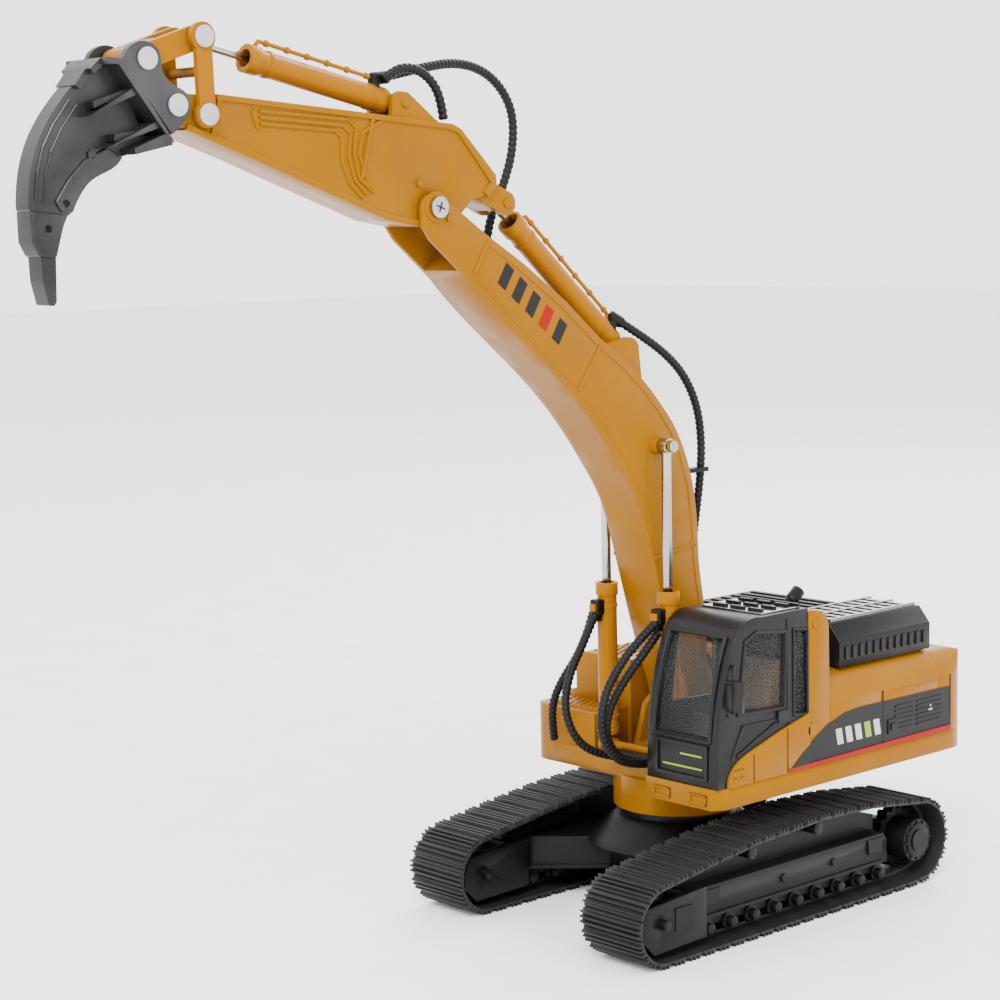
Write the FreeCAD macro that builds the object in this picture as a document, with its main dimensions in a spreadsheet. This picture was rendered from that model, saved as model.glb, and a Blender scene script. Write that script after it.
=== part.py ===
import FreeCAD, Part
import math
import os
from FreeCAD import Placement, Rotation, Vector

# Scale model of a crawler excavator with a ripper shank. Millimetres, +X forward, +Y to the cab
# side, +Z up. The origin is on the ground under the swing axis. The front equipment is modelled
# in its raised working posture, so the side views below are drawn in (x, z) of the machine frame.

document = FreeCAD.newDocument("excavator")
sheet = document.addObject("Spreadsheet::Sheet", "Sizes")
SIZES = {
    "track_gauge": 51.6, "shoe_width": 16, "shoe_count": 50, "plate_thickness": 1.3,
    "grouser_height": 0.8, "chain_width": 5.2, "chain_depth": 1.0,
    "idler_x": 39, "idler_z": 8.6, "sprocket_x": -40.4, "sprocket_z": 9.7,
    "idler_width": 4.6, "idler_radius": 6.0, "idler_shaft": 1.0, "sprocket_width": 2.6,
    "sprocket_shaft": 1.4, "running_gap": 0.06, "frame_width": 11, "yoke_width": 13,
    "yoke_slot": 9.4, "hub_radius": 4.6, "roller_radius": 1.85, "roller_pitch": 6.73,
    "roller_first_x": 24.5, "roller_z": 4.3, "roller_width": 12, "carrier_radius": 1.3,
    "ring_radius": 12.5, "ring_top": 20.3, "skirt_radius": 14, "skirt_bottom": 20.4,
    "deck_bottom": 27.3, "deck_top": 31.6, "house_width": 62, "hood_top": 50,
    "cab_width": 19.4, "cab_right": 11.4, "cab_wall": 1.1, "glass_thickness": 0.4,
    "boom_width": 11.4, "fork_slot": 9.6, "arm_width": 8.6, "pin_radius": 0.9,
    "boom_foot_x": -1.5, "boom_foot_z": 39, "arm_pivot_x": 69.9, "arm_pivot_z": 147.65,
    "lift_base_x": 12, "lift_base_z": 33.6, "lift_pin_x": 12.1, "lift_pin_z": 98.4,
    "lift_side": 8.9, "lift_barrel": 34.8, "lift_radius": 2.1,
    "lift_rod_radius": 1.0, "crowd_rod_radius": 0.95, "tip_rod_radius": 0.8,
    "crowd_base_x": 17.3, "crowd_base_z": 118.5, "crowd_pin_x": 50.3, "crowd_pin_z": 148.2,
    "crowd_barrel": 39.2, "crowd_radius": 2.3, "tip_base_x": 75.5, "tip_base_z": 166.8,
    "tip_barrel": 34.1, "tip_radius": 2.3, "crank_top_x": 121.65, "crank_top_z": 177.13,
    "crank_foot_x": 121.2, "crank_foot_z": 164, "ripper_top_x": 133.46, "ripper_top_z": 173.08,
    "ripper_foot_x": 127.67, "ripper_foot_z": 165.48, "crank_plate": 1.1, "shank_width": 4,
    "pin_head": 1.85, "hose_radius": 0.95,
}
for row, (alias, number) in enumerate(SIZES.items(), start=1):
    sheet.set(f"A{row}", alias)
    sheet.set(f"B{row}", str(number))
    sheet.setAlias(f"B{row}", alias)
document.recompute()


def size(alias):
    """The number that the sheet holds under this alias."""
    return float(sheet.get(alias))


def cell(formula):
    """The formula with each alias in braces pointing at the sheet."""
    return formula.replace("{", "Sizes.").replace("}", "")


def point(name):
    """The (x, z) of a pin whose two coordinates are in the sheet."""
    return (size(name + "_x"), size(name + "_z"))


parts = []
PLANES = {"side": "XZ_Plane", "plan": "XY_Plane", "front": "YZ_Plane"}


def new_body(label):
    body = document.addObject("PartDesign::Body", label)
    body.Label = label
    parts.append(body)
    return body


def draw(sketch, outline, holes):
    """Closes an outline of corners; a list among them is a smooth run through its points.

    An outline of one (x, z, radius) is a circle.
    """
    for x, z, radius in holes:
        sketch.addGeometry(Part.Circle(Vector(x, z, 0), Vector(0, 0, 1), radius))
    if len(outline) == 1:
        x, z, radius = outline[0]
        sketch.addGeometry(Part.Circle(Vector(x, z, 0), Vector(0, 0, 1), radius))
        return
    corners = [Vector(*item, 0) for item in outline if isinstance(item, tuple)]
    at = corners[0]
    edges = []
    for item in outline[1:]:
        if isinstance(item, tuple):
            edges.append(Part.LineSegment(at, Vector(*item, 0)))
            at = Vector(*item, 0)
        else:
            run = Part.BSplineCurve()
            run.interpolate([at] + [Vector(*step, 0) for step in item])
            edges.append(run)
            at = Vector(*item[-1], 0)
    if at.distanceToPoint(corners[0]) > 1e-6:
        edges.append(Part.LineSegment(at, corners[0]))
    sketch.addGeometry(edges)


def layer(body, outline, depth, plane="side", offset=0, cut=False, holes=(), symmetric=True):
    """Pads or pockets one outline; depth is a formula over the sheet's aliases."""
    sketch = body.newObject("Sketcher::SketchObject", body.Label + "_outline")
    role = PLANES[plane]
    base = next(f for f in body.Origin.OriginFeatures if f.Role == role)
    sketch.AttachmentSupport = [(base, "")]
    sketch.MapMode = "FlatFace"
    sketch.AttachmentOffset = Placement(Vector(0, 0, offset), Rotation())
    draw(sketch, outline, holes)
    kind = "PartDesign::Pocket" if cut else "PartDesign::Pad"
    feature = body.newObject(kind, body.Label + ("_pocket" if cut else "_pad"))
    feature.Profile = sketch
    feature.setExpression("Length", cell(depth))
    feature.SideType = "Symmetric" if symmetric else "One side"
    feature.Reversed = bool(cut and not symmetric)
    return feature


def trim(body, outline, plane):
    """Cuts away all of the body that lies outside an outline."""
    sketch = body.newObject("Sketcher::SketchObject", body.Label + "_trim_outline")
    base = next(f for f in body.Origin.OriginFeatures if f.Role == PLANES[plane])
    sketch.AttachmentSupport = [(base, "")]
    sketch.MapMode = "FlatFace"
    draw(sketch, outline, ())
    draw(sketch, box_outline(-200, 200, -200, 200), ())
    waste = body.newObject("PartDesign::Pocket", body.Label + "_trim")
    waste.Profile = sketch
    waste.Length = 400
    waste.SideType = "Symmetric"


def plate(label, outline, width, across="0", holes=()):
    """A plate drawn in side view, width wide, with its middle at y = across."""
    body = new_body(label)
    layer(body, outline, width, holes=holes)
    body.setExpression("Placement.Base.y", cell(across))
    return body


def disc(x, z, radius):
    """A round outline."""
    return [(x, z, radius)]


def stadium(start, end, radius, end_radius=None):
    """The outline of a link: round ends about two centres, joined by straight sides."""
    end_radius = end_radius or radius
    along = math.atan2(end[1] - start[1], end[0] - start[0])
    turn = [math.radians(90 + 15 * step) for step in range(13)]
    first = [(start[0] + radius * math.cos(along + a), start[1] + radius * math.sin(along + a))
             for a in turn]
    last = [(end[0] + end_radius * math.cos(along + math.pi + a),
             end[1] + end_radius * math.sin(along + math.pi + a)) for a in turn]
    return [first[0], first[1:], last[0], last[1:]]


def box_outline(x_low, x_high, z_low, z_high):
    return [(x_low, z_low), (x_high, z_low), (x_high, z_high), (x_low, z_high)]


def feature(label, shape, place=None):
    """A part whose shape is built from the sheet's numbers with solid modelling functions."""
    solid = document.addObject("Part::Feature", label)
    solid.Shape = shape.removeSplitter()
    solid.Label = label
    if place:
        solid.Placement = place
    parts.append(solid)
    return solid


def rod(start, end, radius):
    """A round bar between two points."""
    along = end - start
    return Part.makeCylinder(radius, along.Length, start, along)


def side_point(pair, y=0.0):
    return Vector(pair[0], y, pair[1])


def cross_pin(pair, half_length, radius):
    return rod(side_point(pair, -half_length), side_point(pair, half_length), radius)


# Tracks: the path of the grouser tips round idler, carrier rollers and sprocket.
def track_path():
    """Points of the tips' path in side view, evenly spaced, with the outward direction."""
    idler, sprocket = point("idler"), point("sprocket")
    front, rear = idler[1], sprocket[1] - 0.2
    corners = []
    for angle in range(-90, 86, 5):
        a = math.radians(angle)
        corners.append((idler[0] + front * math.cos(a), idler[1] + front * math.sin(a)))
    corners += [(25.6, 19.2), (11.5, 20.9), (-9.1, 21.9), (-24, 21.3)]
    for angle in range(92, 262, 5):
        a = math.radians(angle)
        corners.append((sprocket[0] + rear * math.cos(a), sprocket[1] + rear * math.sin(a)))
    corners += [(-37.2, 0)]
    wire = Part.makePolygon([Vector(x, 0, z) for x, z in corners + corners[:1]])
    count = int(size("shoe_count"))
    points = wire.discretize(Number=4 * count + 1)[:-1]
    path = []
    for index, here in enumerate(points):
        along = points[(index + 1) % len(points)] - points[index - 1]
        along.normalize()
        path.append((here, Vector(along.z, 0, -along.x)))
    return path


TIPS = track_path()


def ring(outer, inner, y, width):
    """A closed band between two outlines in side view."""
    faces = []
    for outline in (outer, inner):
        moved = [Vector(p.x, y - width / 2, p.z) for p in outline]
        faces.append(Part.Face(Part.makePolygon(moved + moved[:1])))
    return faces[0].cut(faces[1]).extrude(Vector(0, width, 0))


def track_shoes(y):
    """The shoes of one track: each has three grousers across a plate."""
    height, thick = size("grouser_height"), size("plate_thickness")
    outer = []
    for index, (tip, out) in enumerate(TIPS):
        along = Vector(-out.z, 0, out.x)
        low = tip - out * height
        if index % 4 == 3:
            outer += [low - along * 0.2, low - along * 0.08 - out * 0.4,
                      low + along * 0.08 - out * 0.4, low + along * 0.2]
        else:
            outer += [low - along * 0.3, tip - along * 0.16, tip + along * 0.16,
                      low + along * 0.3]
    inner = [tip - out * (height + thick - 0.8) for tip, out in TIPS]
    return ring(outer, inner, y, size("shoe_width"))


def track_chain(y):
    """The link chain inside the shoes."""
    start = size("grouser_height") + size("plate_thickness") - 0.8
    outer = [tip - out * start for tip, out in TIPS]
    inner = [tip - out * (start + size("chain_depth")) for tip, out in TIPS]
    return ring(outer, inner, y, size("chain_width"))


def sprocket_outline(teeth=16, root=5.9, tip=6.75):
    x, z = point("sprocket")
    ring_points = []
    for tooth in range(teeth):
        for share, radius in ((0.0, root), (0.3, root), (0.5, tip), (0.8, tip)):
            a = 2 * math.pi * (tooth + share) / teeth
            ring_points.append((x + radius * math.cos(a), z + radius * math.sin(a)))
    return ring_points


def undercarriage():
    body = new_body("car_body")
    arms = [(25, 20.3), (11, 20.3), (6, 12), (-6, 12), (-11, 20.3), (-25, 20.3), (-13, 8), (-13, -8),
            (-25, -20.3), (-11, -20.3), (-6, -12), (6, -12), (11, -20.3), (25, -20.3), (13, -8),
            (13, 8)]
    layer(body, arms, "6.5", plane="plan", offset=7, symmetric=False)
    flange = [(x * 1.05, y) for x, y in arms]
    layer(body, flange, "0.8", plane="plan", offset=6.6, symmetric=False)
    dome = [(0, 13), (20, 13), (13.5, 18.4), (0, 18.4)]
    sketch = body.newObject("Sketcher::SketchObject", "car_body_dome_outline")
    base = next(f for f in body.Origin.OriginFeatures if f.Role == "XZ_Plane")
    sketch.AttachmentSupport = [(base, "")]
    sketch.MapMode = "FlatFace"
    draw(sketch, dome, ())
    turned = body.newObject("PartDesign::Revolution", "car_body_dome")
    turned.Profile = sketch
    turned.ReferenceAxis = (sketch, ["V_Axis"])
    turned.Angle = 360
    ring_part = document.addObject("Part::Cylinder", "swing_ring")
    ring_part.Label = "swing_ring"
    ring_part.setExpression("Radius", cell("{ring_radius}"))
    ring_part.setExpression("Height", cell("{ring_top} - 18.4"))
    ring_part.Placement.Base.z = 18.4
    parts.append(ring_part)
    for side, sign in (("left", 1), ("right", -1)):
        track_side(side, sign)


def track_side(side, sign):
    middle = sign * size("track_gauge") / 2
    across = f"{sign} * {{track_gauge}} / 2"
    idler, sprocket = point("idler"), point("sprocket")
    frame = new_body("track_frame_" + side)
    layer(frame, [(27, 6.6), (29, 8), (29, 13.2), (-30, 13.2), (-31.5, 11.5), (-31.5, 6.6)],
          "{frame_width}")
    yoke = [(26.5, 3.4), (41.5, 2.9), (44.6, 6), (44.8, 9), (43.2, 12.4), (26.5, 13.6)]
    layer(frame, yoke, "{yoke_width}")
    layer(frame, box_outline(31.5, 46, 1, 15), "{yoke_slot}", cut=True)
    layer(frame, disc(*idler, size("idler_shaft") + size("running_gap")), "{yoke_width} + 1",
          cut=True)
    frame.setExpression("Placement.Base.y", cell(across))
    layer(frame, stadium((-33.5, 9.9), sprocket, 3.4), "2.2", offset=sign * 4.4)
    layer(frame, disc(*sprocket, size("sprocket_shaft") + size("running_gap")), "20", cut=True)
    for at in ((11.5, 17.1), (-9.1, 18.1)):
        layer(frame, box_outline(at[0] - 0.8, at[0] + 0.8, 13, at[1]), "3")
        layer(frame, disc(*at, size("carrier_radius")), "10.8")

    idler_body = new_body("idler_" + side)
    layer(idler_body, disc(*idler, size("idler_radius")), "{idler_width}")
    layer(idler_body, disc(*idler, size("idler_radius") - 1.2), "{idler_width} + 2.4")
    layer(idler_body, disc(*idler, size("idler_shaft")), "{yoke_width} + 2.6")
    idler_body.setExpression("Placement.Base.y", cell(across))

    wheel = new_body("sprocket_" + side)
    layer(wheel, sprocket_outline(), "{sprocket_width}")
    layer(wheel, disc(*sprocket, size("hub_radius")), "5.6", offset=-sign * 3.9)
    layer(wheel, disc(*sprocket, size("hub_radius") - 0.9), "1", offset=-sign * 6.6)
    layer(wheel, disc(*sprocket, size("sprocket_shaft")), "4.6", offset=sign * 3.4)
    wheel.setExpression("Placement.Base.y", cell(across))

    roller_count = 9
    shapes = []
    for index in range(roller_count):
        at = (size("roller_first_x") - index * size("roller_pitch"), size("roller_z"))
        half = size("roller_width") / 2
        middle_bar = rod(side_point(at, middle - half), side_point(at, middle + half), 1.1)
        drum = rod(side_point(at, middle - 4.6), side_point(at, middle + 4.6),
                   size("roller_radius"))
        shapes.append(middle_bar.fuse(drum))
    length = (roller_count - 1) * size("roller_pitch")
    rail = Part.makeBox(length, 8, 2.2, Vector(size("roller_first_x") - length, middle - 4, 4.4))
    feature("track_rollers_" + side, shapes[0].multiFuse(shapes[1:] + [rail]))
    feature("track_shoes_" + side, track_shoes(middle))
    feature("track_chain_" + side, track_chain(middle))


def house():
    half = size("house_width") / 2
    deck = new_body("platform")
    tail = [(-58.8, -29.6), (-62.4, -25.5), (-66.4, -12), (-67.6, 0), (-66.4, 12), (-62.4, 25.5),
            (-58.8, 29.6), (-54, half)]
    layer(deck, [(13.3, -27), [(12.2, -30), (9, -half)], (-54, -half), tail,
                 (19, half), (21.8, 29.4), (21.8, size("cab_right")), (13.3, size("cab_right"))],
          "{deck_top} - {deck_bottom}", plane="plan", offset=size("deck_bottom"), symmetric=False)
    layer(deck, disc(0, 0, size("skirt_radius")), "{deck_bottom} - {skirt_bottom} + 0.5",
          plane="plan", offset=size("skirt_bottom"), symmetric=False)

    weight = new_body("counterweight")
    layer(weight, [(-49.5, -half), (-54, -half), tail, (-49.5, half)],
          "{hood_top} - {deck_top}", plane="plan", offset=size("deck_top"), symmetric=False)
    trim(weight, [(-49.5, 31.6), (-69, 31.6), (-69, 40), [(-68, 43), (-65, 46.2), (-60, 48.6),
                  (-53, 49.9), (-49.5, 50)]], "side")
    trim(weight, [(-half, 31.6), (half, 31.6), (half, 43.5), [(30, 47), (27.6, 49.2), (24, 50)],
                  (-24, 50), [(-27.6, 49.2), (-30, 47), (-half, 43.5)]], "front")

    section = [(-half, 31.6), (half, 31.6), (half, 43.5),
               [(30, 47), (27.6, 49.2), (24, 50)], (-24, 50),
               [(-27.6, 49.2), (-30, 47), (-half, 43.5)]]
    hood = new_body("engine_housing")
    layer(hood, section, "19", plane="front", offset=-49.5, symmetric=False)
    left = new_body("left_housing")
    layer(left, [(10.5, 31.6), (half, 31.6), (half, 43.5), [(30, 47), (27.6, 49.2), (24, 50)],
                 (10.5, 50)], "17.3", plane="front", offset=-30.5, symmetric=False)
    tank = new_body("fuel_tank")
    layer(tank, [(-half, 31.6), (-11, 31.6), (-11, 50), (-25.4, 50),
                 [(-27.1, 49.3), (-27.8, 47.6)], (-27.8, 41.6), [(-29.6, 41), (-half, 39.6)]],
          "33.6", plane="front", offset=-30.5, symmetric=False)
    bulkhead = new_body("bulkhead")
    layer(bulkhead, [(-11, 31.6), (10.5, 31.6), (10.5, 50), (-11, 50)], "11",
          plane="front", offset=-30.5, symmetric=False)
    chest = new_body("tool_box")
    layer(chest, [(3.1, -half), (9, -half), [(12.2, -30), (13.3, -27)], (13.3, -12), (3.1, -12)],
          "8", plane="plan", offset=31.6, symmetric=False)
    layer(chest, [(5, -29), (11.4, -26), (11.4, -13), (5, -13)], "0.5", plane="plan",
          offset=39.6, symmetric=False)

    cover = new_body("engine_cover")
    layer(cover, [(9.5, 50), (28.2, 50), (28.2, 55.8), (25.4, 59.2), (11.5, 59.2),
                  (9.5, 57.5)], "31", plane="front", offset=-50.6, symmetric=False)
    low_cover = new_body("cooling_cover")
    layer(low_cover, [(-25, 50), (7.5, 50), (7.5, 56), (5.5, 57.6), (-22, 57.6), (-25, 55)],
          "26", plane="front", offset=-49.5, symmetric=False)
    stack = rod(Vector(-34, 3, 57.6), Vector(-34, 3, 60.2), 1.5)
    stack = stack.fuse(rod(Vector(-34, 3, 60.2), Vector(-36.2, 3, 61.8), 1.5))
    feature("exhaust_stack", stack.fuse(Part.makeSphere(1.5, Vector(-34, 3, 60.2))))

    post = new_body("cab_pillar")
    layer(post, [(-6.4, 31.6), (-6.4, 64.2), [(-9.4, 64), (-11.6, 62.8), (-12.8, 60.4)],
                 (-13.2, 31.6)], "{cab_width} + 0.3", symmetric=True)
    post.setExpression("Placement.Base.y", cell("{cab_right} + {cab_width} / 2"))
    cab()
    bar = rod(Vector(14.6, -5, 32.2), Vector(14.6, 11, 32.2), 1.3)
    feature("hose_channel", bar.common(Part.makeBox(9, 30, 9, Vector(13.3, -10, 30))))
    bracket = new_body("boom_bracket")
    cheek = [(-9, 31.6), (6.5, 31.6), (3.2, 41), [(0, 43.2), (-4.5, 41.4)]]
    foot = point("boom_foot")
    layer(bracket, cheek, "15", holes=[(*foot, size("pin_radius") + size("running_gap"))])
    layer(bracket, box_outline(-20, 20, 33.2, 60), "12.2", cut=True)
    base_lugs = new_body("lift_base_lugs")
    layer(base_lugs, box_outline(9.4, 13.2, 31.6, 32), "22")
    for lug_y in (-1, 1):
        for side_step in (-1.65, 1.65):
            layer(base_lugs, stadium(point("lift_base"), (12, 32.9), 1.3), "0.7",
                  offset=lug_y * size("lift_side") + side_step)
    half_pin = size("lift_side") + 2.1
    layer(base_lugs, disc(*point("lift_base"), 0.85), str(2 * half_pin))


def cab():
    width = "{cab_width}"
    across = "{cab_right} + {cab_width} / 2"
    front = [(21.3, 36), (20.9, 44), (19.9, 50), (18.2, 56), (16.4, 60.5), (14.2, 63.6)]
    shell = new_body("cab_frame")
    outline = [(-6.4, 31.6), (21.4, 31.6), front, [(12.6, 64.5), (8, 64.9)], (-6.4, 64.9)]
    layer(shell, outline, width)
    inside = [(-5.3, 33), (20.2, 33), [(20.1, 37), (19.6, 44), (18.6, 50), (16.9, 56),
              (15.1, 60.4), (13, 62.8)], [(10, 63.6), (7, 63.7)], (-5.3, 63.7)]
    layer(shell, inside, "{cab_width} - 2 * {cab_wall}", cut=True)
    door = [(14.9, 46.4), (1.6, 45.8), (1.1, 60.6), (9.4, 61.6), (12.6, 60.2)]
    rear = [(-2.2, 43.6), (-5.9, 43.2), (-5.9, 60.2), (-2.2, 60.8)]
    layer(shell, door, "{cab_width} + 4", cut=True)
    layer(shell, rear, "{cab_width} + 4", cut=True)
    shell.setExpression("Placement.Base.y", cell(across))
    layer(shell, box_outline(-7.3, 7.3, 41.6, 61.2), "12", plane="front", offset=13.2, cut=True,
          symmetric=False)
    panel = new_body("cab_side_panel")
    curve = [(18.7, 31.6), [(18.4, 33.6), (16.7, 35.8), (13.3, 37.6), (8, 39.2), (2, 41),
                            (-3, 42.2), (-6.4, 43.2)], (-6.4, 31.6)]
    layer(panel, curve, "0.5")
    panel.setExpression("Placement.Base.y", cell("{cab_right} + {cab_width} + 0.25"))
    screen = new_body("windscreen")
    thin = size("glass_thickness")
    glass_line = [(20.3, 41.6), (20.0, 44), (19.0, 50), (17.35, 56), (15.5, 60.6), (15.2, 61.2)]
    back_line = [(x - thin, z) for x, z in reversed(glass_line)]
    layer(screen, [glass_line[0], glass_line[1:], back_line[0], back_line[1:]], "14.6")
    screen.setExpression("Placement.Base.y", cell(across))
    inset = 0.8
    for side, formula in (("left", "{cab_right} + {cab_width} - " + str(inset)),
                          ("right", "{cab_right} + " + str(inset))):
        plate("door_glass_" + side, door, "{glass_thickness}", formula)
        plate("rear_glass_" + side, rear, "{glass_thickness}", formula)
    seat = new_body("operator_seat")
    layer(seat, [(-4.4, 33), (4, 33), (4, 39), (6, 40), (6, 42), (0.4, 42.3), (-1.6, 54),
                 (-4.2, 54), (-4.4, 40)], "9")
    seat.setExpression("Placement.Base.y", cell(across))
    desk = new_body("control_console")
    layer(desk, [(11.8, 33), (18.6, 33), (18.2, 38), (14.2, 44.6), (12.8, 44.2)], "7")
    desk.setExpression("Placement.Base.y", cell(across))
    mirror = Part.makeBox(1.0, 2.6, 6.2, Vector(18.1, 32.6, 47.6))
    stalk = rod(Vector(18.6, 30.8, 53.2), Vector(18.6, 33.4, 53.2), 0.45)
    feature("mirror", mirror.fuse(stalk))


def boom_parts():
    foot, pivot = point("boom_foot"), point("arm_pivot")
    boom = new_body("boom")
    back = [[(-3.2, 52), (-2.4, 63.4), (-1.0, 72), (-0.5, 80), (0.7, 89), (3.2, 96.5), (6.2, 102),
             (10, 106.6), (14.4, 111.2), (20, 116), (27.3, 121)], (36.7, 128.8), (48, 136.6),
            (57.6, 142.4), (66.4, 148.3), (68.6, 149.9)]
    belly = [(73.6, 144.6), (71.4, 141.6), (62.3, 134),
             [(48.2, 121.3), (35, 110), (27.6, 102), (21.9, 94.6), (16.8, 86.6), (13.8, 78.2),
              (11.1, 69.3), (7.6, 57.8), (3.4, 46), (1.5, 38.2)]]
    outline = [(foot[0] - 2.9, 39.4)] + back + [[(70.4, 150.3), (72.4, 149.6), (73.6, 147.6)]]
    outline += belly + [[(0.2, 36.3), (-1.5, 35.9), (-3.4, 36.9), (-4.4, 39.4)]]
    layer(boom, outline, "{boom_width}")
    fork = [(62, 138), (66, 134), (82, 140), (80, 156), (60, 156), (59.2, 141.5)]
    layer(boom, fork, "{fork_slot}", cut=True)
    layer(boom, disc(*pivot, 2.9), "{boom_width} + 0.5")
    layer(boom, fork, "{fork_slot}", cut=True)
    layer(boom, disc(*pivot, size("pin_radius") + size("running_gap")), "30", cut=True)
    layer(boom, disc(*foot, size("pin_radius")), "14.9")
    pin = point("lift_pin")
    layer(boom, disc(*pin, 1.8), "2 * ({lift_side} - 1.35)")
    layer(boom, disc(*pin, 0.75), "2 * ({lift_side} + 2)")
    for sign in (-1, 1):
        layer(boom, disc(*pin, 1.3), "0.6", offset=sign * (size("lift_side") + 1.7))
    crowd = point("crowd_base")
    lug = [(13.6, 109.5), (25.6, 119.4), (19.6, 120.5),
           [(17.3, 120.8), (15.3, 119.9), (14.6, 117.8)]]
    layer(boom, lug, "8")
    slot = [(10, 115.8), (13.6, 112.2), (27, 121.4), (30, 130), (10, 125)]
    layer(boom, slot, "5.6", cut=True)
    layer(boom, disc(*crowd, 0.85), "8")
    feature("arm_pivot_bolt", cross_pin(pivot, size("boom_width") / 2 + 1.2, 2.0).cut(
        Part.makeBox(9, size("boom_width") + 0.5, 9,
                     Vector(pivot[0] - 4.5, -size("boom_width") / 2 - 0.25, pivot[1] - 4.5))).fuse(
        cross_pin(pivot, size("boom_width") / 2 + 0.9, size("pin_radius"))))


def ram(label, base, pin, barrel, radius, y, eye, gland_bore, inside):
    """A barrel with its base eye, and a rod with its pin eye, on the line between two pins."""
    start, end = side_point(base, y), side_point(pin, y)
    along = (end - start).normalize()
    tube = rod(start + along * 2.2, start + along * barrel, radius)
    tube = tube.fuse(rod(start + along * (barrel - 2.6), start + along * barrel, radius + 0.3))
    tube = tube.fuse(rod(start + along * 2.2, start + along * 3.6, radius + 0.2))
    neck = rod(start, start + along * 3, radius * 0.6)
    eye_ring = rod(start - Vector(0, eye / 2, 0), start + Vector(0, eye / 2, 0), 1.45)
    tube = tube.fuse(neck).fuse(eye_ring)
    tube = tube.cut(rod(start + along * 3.8, start + along * (barrel + 1), gland_bore))
    tube = tube.cut(rod(start - Vector(0, 5, 0), start + Vector(0, 5, 0), 0.92))
    feature(label + "_barrel", tube)
    bar = rod(end - along * (end.distanceToPoint(start) - barrel + inside), end,
              size(label.split("_")[0] + "_rod_radius"))
    ring_shape = rod(end - Vector(0, eye / 2, 0), end + Vector(0, eye / 2, 0), 1.6)
    bar = bar.fuse(ring_shape)
    bar = bar.cut(rod(end - Vector(0, 5, 0), end + Vector(0, 5, 0), 0.82))
    feature(label + "_rod", bar)


def arm_parts():
    pivot, toe = point("arm_pivot"), point("ripper_foot")
    arm = new_body("arm")
    top = [(125.4, 167.6), (118.4, 167.3), (82, 164.2), (68.3, 163), (64.8, 162.7),
           (62.8, 161.9), (54.6, 153.4), (54.3, 151.8), (56, 149.8), (60, 148.9)]
    outline = [(129.3, 164.2), [(128.9, 166.4), (127.2, 167.5), (125.4, 167.6)]] + top[1:]
    outline += [[(62.6, 146.4), (66.4, 144.4), (69.9, 144.2), (73.4, 144.5)], (80.8, 145.8),
                (112.3, 157.4), (126.2, 162.2), [(128.4, 162.9), (129.3, 164.2)]]
    layer(arm, outline, "{arm_width}")
    rim_top = [(118.4, 167.6), (82, 164.6), (68.3, 163.4), (64.6, 163.1), (62.5, 162.2),
               (53.9, 153.6), (53.7, 151.6), (55.8, 149.4), (57, 150.4), (55.1, 152.2),
               (63.2, 161.4), (65, 162.1), (82, 163.6), (118.4, 166.6)]
    layer(arm, rim_top, "{arm_width} + 0.9")
    rim_low = [(73.4, 144.1), (80.8, 145.4), (112.3, 157), (125, 161.4), (124.6, 162.4),
               (112, 158.2), (80.6, 146.6), (73.3, 145.3)]
    layer(arm, rim_low, "{arm_width} + 0.9")
    for rib in (((118.0, 167.2), (117.3, 167.2), (119.2, 160.0), (119.9, 160.2)),
                ((84.0, 164.2), (83.3, 164.2), (86.4, 152.8), (87.1, 153))):
        layer(arm, list(rib), "{arm_width} + 0.9")
    layer(arm, disc(*pivot, size("pin_radius") + size("running_gap")), "20", cut=True)
    layer(arm, disc(*point("crank_foot"), size("pin_radius") + size("running_gap")), "20",
          cut=True)
    layer(arm, disc(*toe, size("pin_radius") + size("running_gap")), "20", cut=True)
    eye = point("crowd_pin")
    layer(arm, stadium(eye, (57, 151.2), 2.3, 2.2), "7.4")
    layer(arm, [(44, 143), (52.4, 143.4), (52.9, 148), (52, 151), (48, 154), (44, 150)], "5.2",
          cut=True)
    layer(arm, disc(*eye, 0.75), "7.4")
    tip = point("tip_base")
    layer(arm, [(78.4, 163), (78.4, 168.2), (76.6, 169), (74.6, 168.8), (66.2, 162.6)], "7.6")
    layer(arm, [(73, 164.2), (80, 164.4), (80, 172), (71, 172)], "5.2", cut=True)
    layer(arm, disc(*tip, 0.85), "7.6")
    crank = new_body("bell_crank")
    foot, head = point("crank_foot"), point("crank_top")
    offset = size("arm_width") / 2 + 0.65 + size("crank_plate") / 2
    for sign in (-1, 1):
        for outline in (disc(*foot, 2.3), disc(*head, 2.5), stadium(foot, head, 1.65)):
            layer(crank, outline, "{crank_plate}", offset=sign * offset)
        for centre in (foot, head):
            layer(crank, disc(*centre, size("pin_head")), "0.5",
                  offset=sign * (offset + size("crank_plate") / 2 + 0.2))
    middle = (121.0, 171.4)
    layer(crank, disc(*foot, size("pin_radius")), str(2 * offset))
    layer(crank, disc(*head, 0.7), str(2 * offset))
    layer(crank, disc(*middle, 0.9), str(2 * offset))


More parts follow.
